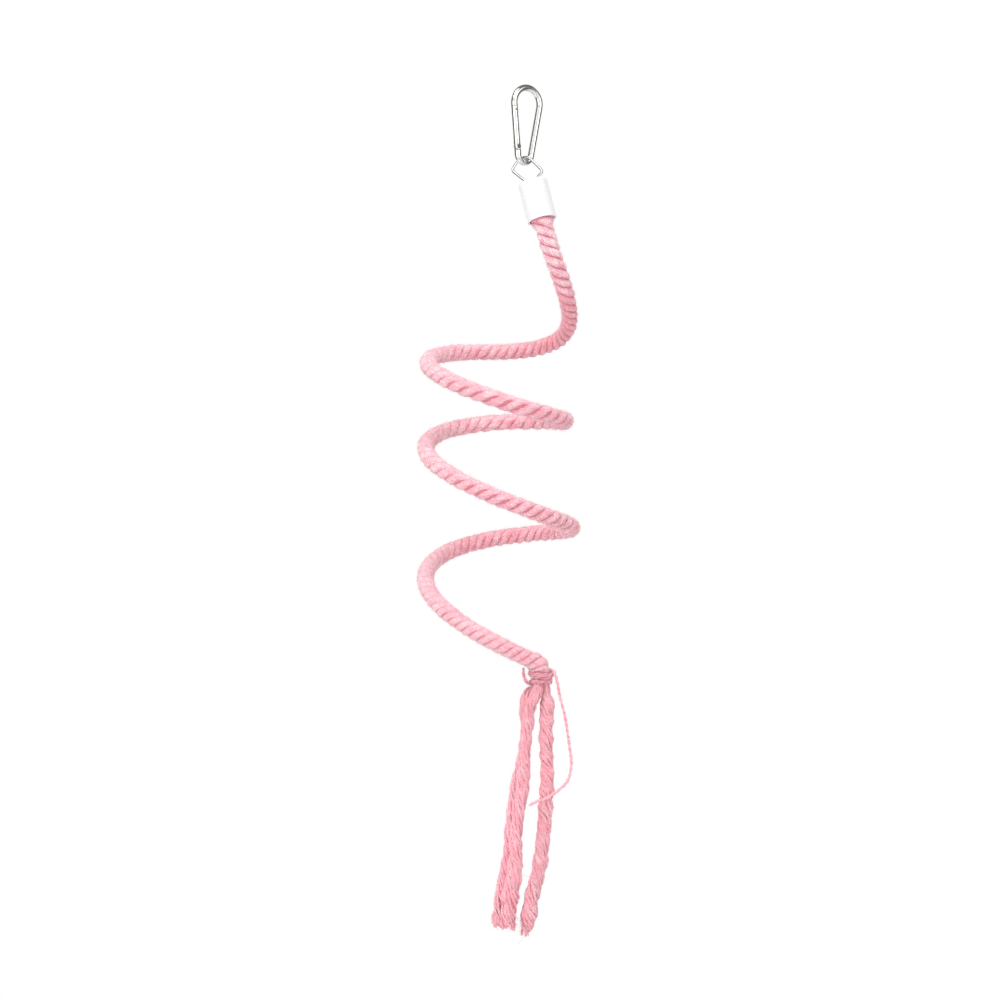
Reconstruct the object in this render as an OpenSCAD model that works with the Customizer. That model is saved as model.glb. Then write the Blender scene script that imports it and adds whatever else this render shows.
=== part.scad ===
// Hanging spiral perch for cage birds.
// A cotton rope on a bent core wire winds down in an open, left-handed
// spiral. Its top end is potted in a plastic cap with a wire eye, a snap
// hook carries the eye, and the rope's loose end hangs as a tassel.
// Millimetres. +Z is up, +X is right and the front faces -Y. The origin is
// the inside of the hook's top bow, where a cage bar or ring bears.

/* [Snap hook] */
// Height of the hook over both bows
hook_h = 60; // [54:1:80]
// Diameter of the hook's rod
rod_d = 5; // [4.5:0.25:6]
// Width of the wide top bow
bow_w = 28; // [24:0.5:32]
// Width of the narrow bottom bow
foot_w = 16.75; // [16:0.25:18]
// Turn of the hook about the vertical, in degrees
hook_yaw = 35; // [25:5:45]
// Lean of the gate's side from the vertical, in degrees
hook_lean = 5; // [0:1:10]

/* [Gate] */
// Height of the gate's rivet above the hook's lowest point
rivet_h = 14.5; // [13:0.5:18]
// Diameter of the rivet's shank
rivet_d = 2; // [1.6:0.1:2.2]
// Diameter of the latch pin in the gate's top fork
latch_d = 1.5; // [1.2:0.1:1.8]
// Thickness of the tongues that the gate's forks straddle
tongue_t = 2; // [1.6:0.1:2.2]
// Bore in the gate for the spring
spring_bore_d = 3; // [2.8:0.1:3.2]
// Metal left in the gate between the spring's bore and the top fork
spring_web = 1.9; // [1.5:0.1:4]
// Turns of the closing spring
spring_turns = 13; // [8:1:13]

/* [Wire eye] */
// Diameter of the eye's wire
eye_wire_d = 2; // [1.6:0.1:2.4]
// Turn of the eye about the vertical, in degrees
eye_yaw = -35; // [-45:5:-25]
// Distance between the eye's two legs in the cap
eye_leg_gap = 10.6; // [8:0.2:12]
// Length of each leg inside the cap
eye_leg_l = 10; // [8:1:12]

/* [Cap] */
// Outside diameter of the cap
cap_d = 22; // [20:0.5:28]
// Length of the cap
cap_l = 30.5; // [28:0.5:40]
// Wall of the cap
cap_wall = 1.6; // [1.2:0.1:2]
// Lean of the cap away from the vertical, in degrees
cap_lean = 16.6; // [0:0.1:20]

/* [Rope] */
// Diameter of the rope along the spiral
rope_d = 12; // [10:0.5:14]
// Diameter of the rope where it leaves the cap
rope_neck_d = 13.8; // [12:0.2:16]
// Diameter of the core wire
core_d = 2.5; // [2:0.1:3]

/* [Spiral] */
// Radius of the spiral, to the rope's centre line
spiral_r = 54; // [45:1:80]
// Turns of the spiral
turns = 2.82; // [1.82:1:4.82]
// Drop over the first turn
pitch_first = 44.5; // [40:0.5:80]
// Extra drop of each further turn
pitch_growth = 34.5; // [0:0.5:40]
// How far the right side of each turn dips
side_dip = 8; // [0:1:10]
// How far the back of each turn lifts
back_lift = 9; // [0:1:10]
// Drop from the cap's mouth to the spiral's start
lead_h = 95; // [80:1:120]
// How far the first turn is drawn in, most of all on the right
first_turn_in = 5; // [0:0.5:8]

/* [Tassel] */
// Length of the tassel's strands
tassel_l = 190; // [120:1:240]
// Diameter of a strand where the rope is bound
strand_d = 5.3; // [4.6:0.1:5.3]
// Diameter of the right strand where it has opened
right_strand_d = 10.4; // [7:0.2:11]
// Diameter of a left strand near its cut end
left_strand_d = 9.6; // [7:0.2:10]
// Diameter of the yarn that binds the rope's end
yarn_d = 2.2; // [1.6:0.1:2.6]
// Turns of the binding
binding_turns = 3; // [2:1:5]

/* [Hidden] */
$fn = 48;
overrun = 1;

up = [0, 0, 1];

// Snap hook: its rod's centre line is an arc over each bow with two
// straight sides. The gate side is upright and the spine leans.
bow_r = (bow_w - rod_d) / 2;
foot_r = (foot_w - rod_d) / 2;
bow_z = rod_d / 2 - bow_r;
foot_z = rod_d - hook_h + rod_d / 2 + foot_r;
foot_x = foot_r - bow_r;
bow_to_foot = norm([foot_x, bow_z - foot_z]);
spine_lean = atan(-foot_x / (bow_z - foot_z)) + asin((bow_r - foot_r) / bow_to_foot);
spine_l = sqrt(bow_to_foot ^ 2 - (bow_r - foot_r) ^ 2);
upset = 0.05;
lap = 0.3;
rivet_z = rod_d - hook_h + rivet_h;

// Gate: measured up from the rivet along the gate
side_gap = 0.15;
end_gap = 0.4;
pin_gap = 0.05;
cam_h = 2.2;
nose_stub = 1.5;
nose_l = 5.6;
nose_arm = 1.5;
latch_gap = 0.3;
fork_gap = 0.5;
gate_l = bow_z - nose_stub - end_gap - rivet_z;
nose_tip = gate_l + end_gap - nose_l;
latch_y = nose_tip + nose_arm + latch_gap + latch_d / 2;
fork_w = tongue_t + 2 * side_gap;
cam_r = norm([rod_d / 2, cam_h]);
fork_top = cam_r + end_gap;
gate_chamfer = 0.5;
head_lip = 0.6;
head_d = rivet_d + 2 * head_lip;
head_t = 0.7;
spot_depth = 0.4;

// Plunger and spring in the gate's bore
plunger_gap = 0.15;
plunger_head_t = 2;
plunger_foot_d = fork_w - 2 * side_gap;
bore_gap = 0.1;
spring_wire_d = 0.4;
spring_d = spring_bore_d - 3 * bore_gap;
plunger_head_y = fork_top + side_gap;
spring_y = plunger_head_y + plunger_head_t + pin_gap;
bore_top = nose_tip - fork_gap - spring_web;
spring_l = bore_top - pin_gap - spring_y;

// Wire eye: corners in its own plane, from the point on the bottom bow
// where it hangs; the first and last corners are its ends in the cap
link_gap = 0.2;
eye_drop = 18.2;
eye_shift = 7.1;
eye_bend_r = 2.5;
eye_leg_bend_r = 2;
eye_right_bend_r = 2;
eye_top_l = 4;
eye_top_r = 3.8;
eye_left = 11.6;
eye_left_h = 8.6;
eye_right = 16.6;
eye_right_h = 11.6;
eye_straight = 1.6;
link_drop = foot_r - rod_d / 2 - link_gap - eye_wire_d / 2;
hook_x_dir = [cos(hook_yaw), sin(hook_yaw), 0];
hung_foot = [foot_x * cos(hook_lean) - (foot_z - bow_z) * sin(hook_lean),
    bow_z + foot_x * sin(hook_lean) + (foot_z - bow_z) * cos(hook_lean)];
link = hung_foot.x * hook_x_dir + (hung_foot.y - link_drop) * up;
eye_x_dir = [cos(eye_yaw), sin(eye_yaw), 0];
cap_up = -sin(cap_lean) * eye_x_dir + cos(cap_lean) * up;
cap_top = link + eye_shift * eye_x_dir - eye_drop * up;
cap_mouth = cap_top - cap_l * cap_up;
// A point on a leg's line in the eye's plane: side is -1 or 1, h is its
// height over the cap's top
function leg_point(side, h) = [eye_shift, -eye_drop]
    + side * eye_leg_gap / 2 * [cos(cap_lean), sin(cap_lean)]
    + h * [-sin(cap_lean), cos(cap_lean)];
eye_path = [leg_point(-1, -eye_leg_l), leg_point(-1, eye_straight),
    [-eye_left, -eye_left_h], [-eye_top_l, 0], [eye_top_r, 0],
    [eye_right, -eye_right_h], leg_point(1, eye_straight),
    leg_point(1, -eye_leg_l)];
eye_bends = [0, eye_leg_bend_r, eye_bend_r, eye_bend_r, eye_bend_r,
    eye_right_bend_r, eye_leg_bend_r, 0];

// Cap and the glue that fills its top
cap_round = 2;
cap_top_t = 2.5;
hole_gap = 0.15;
glue_gap = 0.1;
glue_l = 11;
rope_in_cap = cap_l - cap_top_t - glue_l - 2 * glue_gap;
cap_inner_d = cap_d - 2 * cap_wall;

// Rope: straight in the cap, a curve to the spiral, the spiral, and a
// bend down into the binding
core_gap = 0.1;
core_sides = 8;
spiral_from_mouth = [-32, 5];
spiral_steps = 30;
lead_join = 0.29;
lead_pull = 66;
spiral_pull = 105;
lead_steps = 12;
flare_l = 7;
tail_out = 8;
tail_pull = 5;
tail_drop = 10;
tail_steps = 5;
spiral_z = cap_mouth.z - lead_h;
drawn_in_at = 0.9;
drawn_in_turns = 1.4;
function turn_r(t) = spiral_r - first_turn_in
    * (abs(t - drawn_in_at) < drawn_in_turns / 2
        ? cos(180 * (t - drawn_in_at) / drawn_in_turns) ^ 2 : 0);
function spiral_point(t) = [
    cap_mouth.x + spiral_from_mouth.x + turn_r(t) * cos(360 * t),
    cap_mouth.y + spiral_from_mouth.y + turn_r(t) * sin(360 * t),
    spiral_z - (pitch_first - pitch_growth / 2) * t
        - pitch_growth / 2 * t * t
        - side_dip * cos(360 * t) + back_lift * sin(360 * t)];
function spiral_dir(t) = unit(spiral_point(t + 0.001) - spiral_point(t - 0.001));
function flat_dir(v) = unit([v.x, v.y, 0]);
spiral_end = spiral_point(turns);
end_dir = spiral_dir(turns);
bound_end = spiral_end + tail_out * flat_dir(end_dir) - tail_drop * up;
rope_path = concat(
    [cap_mouth + rope_in_cap * cap_up],
    bezier([cap_mouth,
        cap_mouth - lead_pull * cap_up,
        spiral_point(lead_join) - spiral_pull * spiral_dir(lead_join),
        spiral_point(lead_join)], lead_steps, 0),
    [for (i = [0:ceil((turns - lead_join) * spiral_steps) - 1])
        spiral_point(lead_join
            + i * (turns - lead_join) / ceil((turns - lead_join) * spiral_steps))],
    bezier([spiral_end,
        spiral_end + tail_pull * end_dir,
        bound_end + tail_pull * up,
        bound_end], tail_steps, 1));
rope_dirs = path_dirs(rope_path, -cap_up, -up);
rope_run = path_run(rope_path);
rope_r = [for (s = rope_run) rope_radius(s - rope_in_cap)];
// Radius of the rope at a distance s below the cap's mouth: it fills the
// cap, closes below the mouth and thins slowly to the spiral
function rope_radius(s) =
    s <= 0 ? cap_inner_d / 2 - glue_gap
    : s < flare_l ? mix(cap_inner_d / 2 - glue_gap, rope_neck_d / 2, ease(s / flare_l))
    : s < lead_h ? mix(rope_neck_d / 2, rope_d / 2, (s - flare_l) / (lead_h - flare_l))
    : rope_d / 2;

// Binding: yarn wound up round the rope's end, with a short end that stands
// up on the left and a long end that hangs as the loose yarn
binding_gap = 0.3;
yarn_gap = 0.6;
binding_pitch = yarn_d + yarn_gap;
binding_r = rope_d / 2 + binding_gap + yarn_d / 2;
binding_steps = 24;
stub_steps = 3;
yarn_steps = 3;
binding_top = yarn_d;
// Route of the short end, from the left of the first turn
stub_route = [[-5, -4, 12], [-5, -5, 8], [-4, -5, 3.5], [-1.5, -3, 0.5]];
binding_start = binding_point(0);
binding_path = concat(
    through(concat([for (q = stub_route) binding_start + q], [binding_start]), stub_steps),
    [for (i = [1:binding_turns * binding_steps + binding_steps / 2])
        binding_point(i / binding_steps)]);
function binding_point(t) = bound_end
    + (binding_top - binding_pitch * (binding_turns + 1 / 2 - t)) * up
    + binding_r * [cos(180 + 360 * t), -sin(180 + 360 * t), 0];

// Tassel: three strands side by side at the rope's cut end. The right one
// opens at once and the two left ones open on their way down.
strand_gap = 0.5;
strand_ring_r = (strand_d + strand_gap) / 2 / sin(60);
neck_l = 10;
strand_steps = 4;
right_open_end = 40;
left_open_start = 30;
left_open_end = 150;
left_out = 2.8;
left_back = 4.2;
// Routes below the binding, as shares of the tassel's length: to the right,
// to the back, and down
right_route_share = [[0.02, 0, 0.08], [0.025, 0, 0.12], [0.02, 0, 0.24],
    [0.025, 0, 0.4], [0.02, 0, 0.49], [0.01, 0, 0.61], [-0.005, 0, 0.73],
    [-0.03, 0, 0.85], [-0.045, 0, 1]];
left_route_share = [[-0.035, 0, 0.09], [-0.05, 0, 0.13], [-0.055, 0, 0.24],
    [-0.075, 0, 0.4], [-0.095, 0, 0.52], [-0.105, 0, 0.64], [-0.11, 0, 0.73],
    [-0.13, 0, 0.85], [-0.14, 0, 0.97]];
// Route of the loose yarn from the rope's end
yarn_route = [[10, -3, 1], [12, -3, -7], [14, -1, -17], [17, 0, -29], [19, 0, -40],
    [21, -2, -55], [22, -3, -64], [20, -5, -75], [14, -8, -82], [5, -9, -88],
    [-3, -9, -91], [-9, -9, -94]];

// Small helpers
function unit(v) = v / norm(v);
function mix(a, b, s) = a + (b - a) * s;
function ease(s) = s * s * (3 - 2 * s);
function bezier(p, steps, last) = [for (i = [0:steps - 1 + last])
    let (s = i / steps, r = 1 - s)
    r * r * r * p[0] + 3 * r * r * s * p[1] + 3 * r * s * s * p[2] + s * s * s * p[3]];
// Distance of each point of a path along it
function path_run(p) = [for (i = 0, s = 0; i < len(p);
    s = s + (i + 1 < len(p) ? norm(p[i + 1] - p[i]) : 0), i = i + 1) s];
function path_dirs(p, first, last) = [for (i = [0:len(p) - 1])
    i == 0 ? first : i == len(p) - 1 ? last : unit(p[i + 1] - p[i - 1])];
// A side direction at each point, carried along without twist
function path_sides(d) = [for (i = 0, n = unit(cross(d[0], [0.3, 1, 0.2]));
    i < len(d);
    i = i + 1, n = i < len(d) ? unit(n - (n * d[i]) * d[i]) : n) n];
function rings(p, d, r, sides) = let (n = path_sides(d))
    [for (i = [0:len(p) - 1]) let (m = cross(n[i], d[i]))
        [for (k = [0:sides - 1]) let (a = 360 * k / sides)
            p[i] + r[i] * (cos(a) * n[i] + sin(a) * m)]];
function same(value, p) = [for (q = p) value];
function flat(lists) = [for (list = lists) for (item = list) item];

// A round tube without bore along a path
module solid_tube(p, d, r, sides) {
    points = concat(flat(rings(p, d, r, sides)), [p[0], p[len(p) - 1]]);
    last = (len(p) - 1) * sides;
    walls = [for (i = [0:len(p) - 2]) for (k = [0:sides - 1])
        let (a = i * sides + k, b = i * sides + (k + 1) % sides)
        each [[a, b, b + sides], [a, b + sides, a + sides]]];
    ends = [for (k = [0:sides - 1]) let (b = (k + 1) % sides)
        each [[len(p) * sides, b, k],
            [len(p) * sides + 1, last + k, last + b]]];
    polyhedron(points = points, faces = concat(walls, ends), convexity = 10);
}

// A round tube with a bore along a path, with two outer sides for each
// side of the bore
module bored_tube(p, d, r, bore_r, bore_sides) {
    sides = 2 * bore_sides;
    outer = flat(rings(p, d, r, sides));
    inner = flat(rings(p, d, same(bore_r, p), bore_sides));
    base = len(outer);
    last = (len(p) - 1) * sides;
    last_in = base + (len(p) - 1) * bore_sides;
    outside = [for (i = [0:len(p) - 2]) for (k = [0:sides - 1])
        let (a = i * sides + k, b = i * sides + (k + 1) % sides)
        each [[a, b, b + sides], [a, b + sides, a + sides]]];
    inside = [for (i = [0:len(p) - 2]) for (k = [0:bore_sides - 1])
        let (a = base + i * bore_sides + k, b = base + i * bore_sides + (k + 1) % bore_sides)
        each [[a, b + bore_sides, b], [a, a + bore_sides, b + bore_sides]]];
    ends = [for (k = [0:bore_sides - 1])
        let (a = 2 * k, b = a + 1, c = (a + 2) % sides, q = (k + 1) % bore_sides)
        each [[a, base + k, b], [b, base + k, base + q], [b, base + q, c],
            [last + a, last + b, last_in + k], [last + b, last_in + q, last_in + k],
            [last + b, last + c, last_in + q]]];
    polyhedron(points = concat(outer, inner),
        faces = concat(outside, inside, ends), convexity = 10);
}

// A path through corner points in the XY plane with a bend at each corner
function half_angle(p, i) = acos(unit(p[i - 1] - p[i]) * unit(p[i + 1] - p[i])) / 2;
function bend_points(p, i, r, steps) =
    let (back = unit(p[i - 1] - p[i]), ahead = unit(p[i + 1] - p[i]),
        half = half_angle(p, i), centre = p[i] + r / sin(half) * unit(back + ahead),
        from = p[i] + r / tan(half) * back - centre,
        sweep = (180 - 2 * half) * (cross(back, ahead) > 0 ? -1 : 1))
    [for (k = [0:steps]) let (a = sweep * k / steps)
        [centre.x + from.x * cos(a) - from.y * sin(a),
            centre.y + from.x * sin(a) + from.y * cos(a), 0]];
function bent_path(p, bends, steps) = concat([[p[0].x, p[0].y, 0]],
    [for (i = [1:len(p) - 2]) each bend_points(p, i, bends[i], steps)],
    [[p[len(p) - 1].x, p[len(p) - 1].y, 0]]);

// Places: the hook's own plane, the gate's rivet, the eye's plane and the
// cap, in which Z runs up its axis from its top
module in_hook() rotate([0, 0, hook_yaw]) rotate([90, 0, 0])
    translate([0, bow_z, 0]) rotate([0, 0, hook_lean]) translate([0, -bow_z, 0]) children();
module in_gate() in_hook() translate([-bow_r, rivet_z, 0]) children();
module in_eye() translate(link) rotate([0, 0, eye_yaw]) rotate([90, 0, 0]) children();
module in_cap() in_eye() translate([eye_shift, -eye_drop, 0]) rotate([0, 0, cap_lean])
    rotate([-90, 0, 0]) children();

// A length of the hook's rod, from y0 up to y1 on the gate's line
module rod(y0, y1) translate([0, y0, 0]) rotate([-90, 0, 0]) cylinder(h = y1 - y0, d = rod_d);

// What two flats leave of the rod: a tongue, or what a fork cuts away
module slab(y0, y1, t) translate([-rod_d, y0, -t / 2]) cube([2 * rod_d, y1 - y0, t]);

// The rod's ends are a touch thicker, as upset for the tongues, and lap
// over the ends of the bows
module rod_end(y0, y1) translate([0, y0, 0]) rotate([-90, 0, 0])
    cylinder(h = y1 - y0, d = rod_d + 2 * upset);

// Cuts both sides of a rod end down to a tongue
module tongue_cuts(y0, y1) for (side = [0, 180]) rotate([0, side, 0])
    translate([-rod_d, y0, tongue_t / 2]) cube([2 * rod_d, y1 - y0, rod_d]);

module hook_body() color("silver") {
    in_hook() translate([0, bow_z, 0]) rotate([0, 0, -spine_lean]) {
        rotate_extrude(angle = 180 + spine_lean) translate([bow_r, 0]) circle(d = rod_d);
        translate([bow_r, -spine_l, 0]) rotate([-90, 0, 0]) cylinder(h = spine_l, d = rod_d);
        translate([bow_r - foot_r, -spine_l, 0]) mirror([0, 1, 0])
            rotate_extrude(angle = 180 - spine_lean) translate([foot_r, 0]) circle(d = rod_d);
    }
    in_gate() difference() {
        rod_end(foot_z - rivet_z - lap, cam_h);
        tongue_cuts(-rod_d / 2 - end_gap, cam_h + overrun);
        cylinder(h = 2 * rod_d, d = rivet_d + 2 * pin_gap, center = true);
    }
    in_gate() difference() {
        rod_end(nose_tip, bow_z - rivet_z + lap);
        tongue_cuts(nose_tip - overrun, gate_l + end_gap);
        translate([0, latch_y, 0]) {
            cylinder(h = rod_d, d = latch_d + 2 * latch_gap, center = true);
            translate([0, -latch_d / 2 - latch_gap, -rod_d / 2])
                cube([rod_d, latch_d + 2 * latch_gap, rod_d]);
        }
    }
}

module gate() color("gainsboro") in_gate() difference() {
    intersection() {
        rod(-rod_d / 2, gate_l);
        linear_extrude(2 * rod_d, center = true) {
            circle(d = rod_d);
            polygon([[-rod_d, 0], [rod_d, 0],
                [rod_d, gate_l - gate_chamfer - rod_d / 2],
                [rod_d / 2 - gate_chamfer, gate_l],
                [-rod_d / 2 + gate_chamfer, gate_l],
                [-rod_d, gate_l - gate_chamfer - rod_d / 2]]);
        }
    }
    slab(-rod_d, fork_top, fork_w);
    slab(nose_tip - fork_gap, gate_l + overrun, fork_w);
    translate([0, fork_top - overrun, 0]) rotate([-90, 0, 0])
        cylinder(h = bore_top - fork_top + overrun, d = spring_bore_d);
    cylinder(h = 2 * rod_d, d = rivet_d + 2 * pin_gap, center = true);
    for (side = [-1, 1])
        translate([0, 0, side * rod_d / 2])
            cylinder(h = 2 * spot_depth, d = head_d + 2 * side_gap, center = true);
    translate([0, latch_y, 0])
        cylinder(h = 2 * rod_d, d = latch_d + 2 * pin_gap, center = true);
}

module rivet() color("dimgray") in_gate() {
    cylinder(h = rod_d - 2 * spot_depth + 2 * pin_gap, d = rivet_d, center = true);
    for (side = [0, 180]) rotate([side, 0, 0])
        translate([0, 0, rod_d / 2 - spot_depth + pin_gap]) rotate_extrude()
            polygon([[0, 0], [head_d / 2, 0], [head_d / 2, head_t / 2],
                [head_d / 3, head_t], [0, head_t]]);
}

module latch_pin() color("dimgray") in_gate() translate([0, latch_y, 0])
    cylinder(h = rod_d - pin_gap, d = latch_d, center = true);

module plunger() color("goldenrod") in_gate() {
    translate([0, plunger_head_y, 0]) rotate([-90, 0, 0])
        cylinder(h = plunger_head_t, d = spring_bore_d - 2 * bore_gap);
    translate([0, cam_h + plunger_gap, 0]) rotate([-90, 0, 0])
        cylinder(h = plunger_head_y - cam_h - plunger_gap, d = plunger_foot_d);
}

spring_steps = 8;
spring_rise = spring_l - spring_wire_d;
spring_path = [for (i = [0:spring_turns * spring_steps])
    let (t = i / spring_steps)
    [(spring_d - spring_wire_d) / 2 * cos(360 * t),
        (spring_d - spring_wire_d) / 2 * sin(360 * t),
        spring_wire_d / 2 + spring_rise * t / spring_turns]];
module spring() color("slategray") in_gate() translate([0, spring_y, 0]) rotate([-90, 0, 0])
    solid_tube(spring_path, path_dirs(spring_path, [0, 1, 0], [0, 1, 0]),
        same(spring_wire_d / 2, spring_path), 6);

eye_line = bent_path(eye_path, eye_bends, 6);
module wire_eye() color("lightsteelblue") in_eye()
    solid_tube(eye_line, path_dirs(eye_line, unit(eye_line[1] - eye_line[0]),
            unit(eye_line[len(eye_line) - 1] - eye_line[len(eye_line) - 2])),
        same(eye_wire_d / 2, eye_line), 12);

module leg_holes(gap) for (side = [-1, 1])
    translate([side * eye_leg_gap / 2, 0, -cap_l])
        cylinder(h = 2 * cap_l, d = eye_wire_d + 2 * gap);

module cap() color("white") in_cap() difference() {
    rotate_extrude() difference() {
        union() {
            translate([0, -cap_l]) square([cap_d / 2, cap_l - cap_round]);
            translate([0, -cap_round]) square([cap_d / 2 - cap_round, cap_round]);
            translate([cap_d / 2 - cap_round, -cap_round]) intersection() {
                circle(r = cap_round);
                square(cap_round);
            }
        }
        translate([0, -cap_l - overrun])
            square([cap_inner_d / 2, cap_l - cap_top_t + overrun]);
    }
    leg_holes(hole_gap);
}

module glue() color("wheat") in_cap() difference() {
    translate([0, 0, -cap_top_t - glue_gap - glue_l])
        cylinder(h = glue_l, d = cap_inner_d - 2 * glue_gap);
    leg_holes(pin_gap);
}

module rope() color("pink")
    bored_tube(rope_path, rope_dirs, rope_r, core_d / 2 + core_gap, core_sides);

core_path = [for (i = [0:len(rope_path) - 2]) rope_path[i]];
core_dirs = [for (i = [0:len(rope_path) - 2]) rope_dirs[i]];
module core_wire() color("gray")
    solid_tube(core_path, core_dirs, same(core_d / 2, core_path), core_sides);

module binding() color("hotpink")
    solid_tube(binding_path, path_dirs(binding_path,
            unit(binding_path[1] - binding_path[0]),
            unit(binding_path[len(binding_path) - 1] - binding_path[len(binding_path) - 2])),
        same(yarn_d / 2, binding_path), 8);

// A smooth curve through points, with a number of steps for each span
function through(p, steps) = concat(
    [for (i = [0:len(p) - 2]) for (k = [0:steps - 1])
        let (a = p[max(i - 1, 0)], b = p[i], c = p[i + 1],
            d = p[min(i + 2, len(p) - 1)], s = k / steps)
        0.5 * (2 * b + (c - a) * s + (2 * a - 5 * b + 4 * c - d) * s * s
            + (3 * b - a - 3 * c + d) * s * s * s)],
    [p[len(p) - 1]]);

function strand_path(angle, route, offset) =
    let (start = strand_ring_r * [cos(angle), sin(angle), 0])
    through(concat([start, start - neck_l * up],
        [for (q = route) tassel_l * [q.x, q.y, -q.z] + offset]), strand_steps);

module strand(path, end_r, open_from, open_to) {
    run = path_run(path);
    r = [for (s = run) mix(strand_d / 2, end_r,
        ease(min(1, max(0, (s - open_from) / (open_to - open_from)))))];
    translate(bound_end)
        solid_tube(path, path_dirs(path, -up, -up), r, 10);
}

module strand_right() color("lightpink")
    strand(strand_path(0, right_route_share, [0, 0, 0]),
        right_strand_d / 2, neck_l, right_open_end);
module strand_left_back() color("lightpink")
    strand(strand_path(120, left_route_share, [-left_out, left_back, 0]),
        left_strand_d / 2, left_open_start, left_open_end);
module strand_left_front() color("palevioletred")
    strand(strand_path(240, left_route_share, [left_out, -left_back, 0]),
        left_strand_d / 2, left_open_start, left_open_end);

yarn_start = binding_path[len(binding_path) - 1] - bound_end;
yarn_path = through(concat([yarn_start], yarn_route), yarn_steps);
module loose_yarn() color("hotpink") translate(bound_end)
    solid_tube(yarn_path, path_dirs(yarn_path,
            unit(binding_path[len(binding_path) - 1] - binding_path[len(binding_path) - 2]),
            unit(yarn_path[len(yarn_path) - 1] - yarn_path[len(yarn_path) - 2])),
        same(yarn_d / 2, yarn_path), 8);

// Least gap of a wound tube to itself, between points that lie more than
// half a turn apart
function least_gap(p, d, apart) = min([for (i = [0:len(p) - 1 - apart])
    for (j = [i + apart:len(p) - 1]) norm(p[i] - p[j])]) - d;
echo(rope_turns_gap = least_gap(rope_path, rope_d, floor(spiral_steps / 2)));
echo(spring_turns_gap = least_gap(spring_path, spring_wire_d, spring_steps / 2));
echo(binding_turns_gap = least_gap(binding_path, yarn_d, binding_steps / 2));

hook_body();
gate();
rivet();
latch_pin();
plunger();
spring();
wire_eye();
cap();
glue();
rope();
core_wire();
binding();
strand_right();
strand_left_back();
strand_left_front();
loose_yarn();
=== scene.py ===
import math
import random

import bpy
import numpy as np
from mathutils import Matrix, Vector


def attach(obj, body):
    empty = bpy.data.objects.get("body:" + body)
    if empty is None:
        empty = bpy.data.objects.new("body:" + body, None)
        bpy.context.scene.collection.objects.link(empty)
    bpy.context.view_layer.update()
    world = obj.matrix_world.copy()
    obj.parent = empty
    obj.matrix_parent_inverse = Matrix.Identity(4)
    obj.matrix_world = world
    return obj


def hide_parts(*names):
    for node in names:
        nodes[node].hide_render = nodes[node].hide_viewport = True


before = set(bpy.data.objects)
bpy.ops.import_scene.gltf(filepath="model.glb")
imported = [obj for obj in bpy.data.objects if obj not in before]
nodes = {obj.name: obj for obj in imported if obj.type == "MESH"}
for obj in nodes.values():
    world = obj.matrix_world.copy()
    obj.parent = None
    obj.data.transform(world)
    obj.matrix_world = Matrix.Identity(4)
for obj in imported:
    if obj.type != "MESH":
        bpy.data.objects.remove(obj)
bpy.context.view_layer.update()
mm = 0.001

# The camera stands level, where the photograph's did
cameraSet = {
    "distance": 1.8,  # metres from the spiral's axis
    "aim": (-19.6, -302.8),  # mm across and up, the middle of the photograph
    "seenWidth": 740.7,  # mm across the picture at the spiral's axis
    "sensor": 36,  # mm
    "seesTo": 50,  # metres
}
bpy.ops.object.camera_add(
    location=(cameraSet["aim"][0] * mm, -cameraSet["distance"], cameraSet["aim"][1] * mm),
    rotation=(math.radians(90), 0, 0))
camera = bpy.context.object
camera.name = "photoCamera"
camera.data.sensor_width = cameraSet["sensor"]
camera.data.lens = cameraSet["sensor"] * cameraSet["distance"] / (cameraSet["seenWidth"] * mm)
camera.data.clip_end = cameraSet["seesTo"]
bpy.context.scene.camera = camera
print("camera placed")


# Lines are arrays of points in mm
def unit(v):
    return v / np.linalg.norm(v, axis=-1, keepdims=True)


def ease(t):
    return t * t * (3 - 2 * t)


def wave(run, every, phase):
    return np.sin(2 * np.pi * run / every + phase)


def bezierLine(corners, steps):
    a, b, c, d = [np.array(q, float) for q in corners]
    t = np.linspace(0, 1, steps + 1)[:, None]
    r = 1 - t
    return r ** 3 * a + 3 * r * r * t * b + 3 * r * t * t * c + t ** 3 * d


def smoothThrough(points, steps):
    p = np.array(points, float)
    line = []
    for i in range(len(p) - 1):
        a, b, c, d = p[max(i - 1, 0)], p[i], p[i + 1], p[min(i + 2, len(p) - 1)]
        for k in range(steps):
            t = k / steps
            line.append(0.5 * (2 * b + (c - a) * t + (2 * a - 5 * b + 4 * c - d) * t * t
                               + (3 * b - a - 3 * c + d) * t ** 3))
    return np.array(line + [p[-1]])


def runAlong(p):
    return np.concatenate([[0], np.cumsum(np.linalg.norm(np.diff(p, axis=0), axis=1))])


def evenSteps(p, spacing):
    run = runAlong(p)
    s = np.linspace(0, run[-1], max(2, round(run[-1] / spacing)) + 1)
    return np.stack([np.interp(s, run, p[:, k]) for k in range(3)], axis=1)


# Two sides across a line, carried along it without twist; with the line's own
# direction they are right-handed
def crossFrame(p, firstSide=(0.3, 1.0, 0.2)):
    along = unit(np.gradient(p, axis=0))
    side = np.array(firstSide, float)
    sideA = np.zeros_like(p)
    for i, d in enumerate(along):
        side = side - side.dot(d) * d
        side = side / np.linalg.norm(side)
        sideA[i] = side
    return sideA, np.cross(along, sideA)


def windRound(line, ring, turn, sideA, sideB):
    return line + ring[:, None] * (np.cos(turn)[:, None] * sideA + np.sin(turn)[:, None] * sideB)


def ringAngles(sides):
    return np.linspace(0, 2 * np.pi, sides, endpoint=False)[None, :]


def tubeRings(line, radius, sideA, sideB, sides):
    a = ringAngles(sides)[:, :, None]
    radius = np.broadcast_to(radius, (len(line), sides))[:, :, None]
    return line[:, None, :] + radius * (np.cos(a) * sideA[:, None, :]
                                        + np.sin(a) * sideB[:, None, :])


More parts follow.
